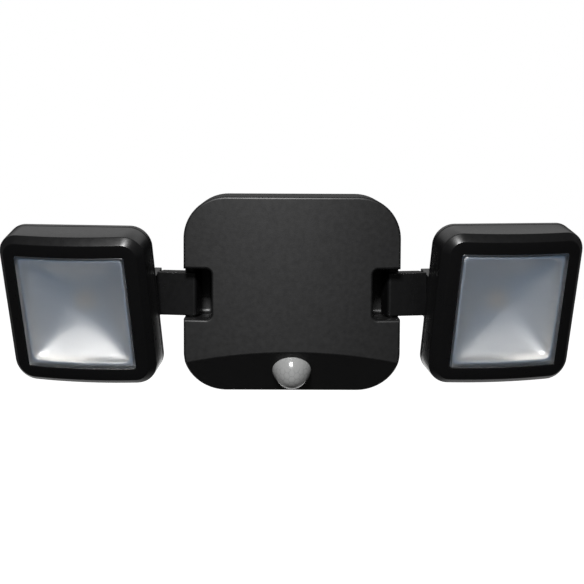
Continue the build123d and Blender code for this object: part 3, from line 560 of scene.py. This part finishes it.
def make_floor():
    """Pale floor far below the light, seen by the camera alone."""
    half = FLOOR_SIZE / 2
    corners = [(x * half, y * half, FLOOR_LEVEL) for x, y in ((-1, -1), (1, -1), (1, 1), (-1, 1))]
    mesh = bpy.data.meshes.new("floor")
    mesh.from_pydata(corners, [], [(0, 1, 2, 3)])
    floor = bpy.data.objects.new("floor", mesh)
    bpy.context.scene.collection.objects.link(floor)
    pale, _, surface = shader("pale_floor", (0.9, 0.9, 0.9), 0.9, specular=0.0)
    surface.inputs["Emission Color"].default_value = (1, 1, 1, 1)
    surface.inputs["Emission Strength"].default_value = 0.9
    mesh.materials.append(pale)
    floor.visible_glossy = False
    floor.visible_diffuse = False
    floor.visible_transmission = False


make_floor()


# ---------------------------------------------------------------- light
def softbox(name, place, width, height, radiance):
    """A rectangular light of even radiance that looks at the part."""
    data = bpy.data.lights.new(name, "AREA")
    data.shape = "RECTANGLE"
    data.size, data.size_y = width, height
    data.energy = radiance * pi * width * height
    lamp = bpy.data.objects.new(name, data)
    bpy.context.scene.collection.objects.link(lamp)
    lamp.location = place
    lamp.rotation_mode = "QUATERNION"
    lamp.rotation_quaternion = (-Vector(place)).to_track_quat("-Z", "Y")


softbox("key", (-0.14, -1.33, 0.87), 0.34, 0.24, 160.0)
softbox("back_fill", (0, 1.6, -0.5), 1.4, 0.7, 1.4)

# Radiance of the studio against the height of the direction, from -1 straight down to 1
# straight up: in front of the part, and beyond it.
BEFORE = [(-1, 0.02), (-0.3, 0.02), (0, 0.08), (0.5, 0.08), (1, 0.10)]
BEYOND = [(-1, 0.03), (-0.72, 0.7), (-0.3, 0.06), (0.3, 0.06), (0.65, 0.9), (1, 0.2)]
COOL = (0.02, 0.23, 0.55)
WHITE = (1, 1, 1)


def by_height(tree, height, stops):
    """The stops' radiance at the height given."""
    ramp = tree.nodes.new("ShaderNodeValToRGB")
    while len(ramp.color_ramp.elements) < len(stops):
        ramp.color_ramp.elements.new(0.5)
    for element, (z, value) in zip(ramp.color_ramp.elements, stops):
        element.position = (z + 1) / 2
        element.color = (value, value, value, 1)
    tree.links.new(spread(tree, height, -1, 1, 0, 1), ramp.inputs["Fac"])
    return ramp.outputs["Color"]


def swapped(tree, colour, seen, other):
    """The colour, or the other one where the factor is 1."""
    mix = tree.nodes.new("ShaderNodeMix")
    mix.data_type = "RGBA"
    tree.links.new(seen, mix.inputs["Factor"])
    tree.links.new(colour, mix.inputs["A"])
    mix.inputs["B"].default_value = (*other, 1.0)
    return mix.outputs["Result"]


def make_world():
    """Grey studio; rays that leave through a window see a cool colour, the camera sees white."""
    world = bpy.data.worlds.new("studio")
    bpy.context.scene.world = world
    world.use_nodes = True
    tree = world.node_tree
    place = tree.nodes.new("ShaderNodeTexCoord").outputs["Generated"]
    direction = tree.nodes.new("ShaderNodeSeparateXYZ")
    tree.links.new(place, direction.inputs["Vector"])
    studio = tree.nodes.new("ShaderNodeMix")
    tree.links.new(spread(tree, direction.outputs["Y"], 0.1, 0.55, 0, 1), studio.inputs["Factor"])
    tree.links.new(by_height(tree, direction.outputs["Z"], BEFORE), studio.inputs["A"])
    tree.links.new(by_height(tree, direction.outputs["Z"], BEYOND), studio.inputs["B"])
    ray = tree.nodes.new("ShaderNodeLightPath").outputs
    colour = swapped(tree, studio.outputs["Result"], ray["Is Transmission Ray"], COOL)
    colour = swapped(tree, colour, ray["Is Camera Ray"], WHITE)
    background = tree.nodes["Background"]
    background.inputs["Strength"].default_value = 1.0
    tree.links.new(colour, background.inputs["Color"])


make_world()

# ---------------------------------------------------------------- camera
CAMERA_PLACE = (-0.00802, -1.00848, 0.09203)
CAMERA_DOWN, CAMERA_ASIDE, CAMERA_ROLL = radians(5.38), radians(0.48), radians(0.25)
CAMERA_LENS, CAMERA_SENSOR = 96.3, 36.0


def make_camera():
    """The photograph's camera."""
    data = bpy.data.cameras.new("camera")
    data.sensor_width = CAMERA_SENSOR
    data.lens = CAMERA_LENS
    data.clip_start, data.clip_end = 0.05, 60.0
    camera = bpy.data.objects.new("camera", data)
    bpy.context.scene.collection.objects.link(camera)
    level = cos(CAMERA_DOWN)
    ahead = Vector((sin(CAMERA_ASIDE) * level, cos(CAMERA_ASIDE) * level, -sin(CAMERA_DOWN)))
    right = ahead.cross(Vector((0, 0, 1))).normalized()
    up = right.cross(ahead)
    c, s = cos(CAMERA_ROLL), sin(CAMERA_ROLL)
    pose = Matrix((right * c + up * s, up * c - right * s, -ahead)).transposed().to_4x4()
    pose.translation = Vector(CAMERA_PLACE)
    camera.matrix_world = pose
    bpy.context.scene.camera = camera


make_camera()
bpy.context.scene.view_settings.view_transform = "Standard"
bpy.context.scene.view_settings.look = "None"
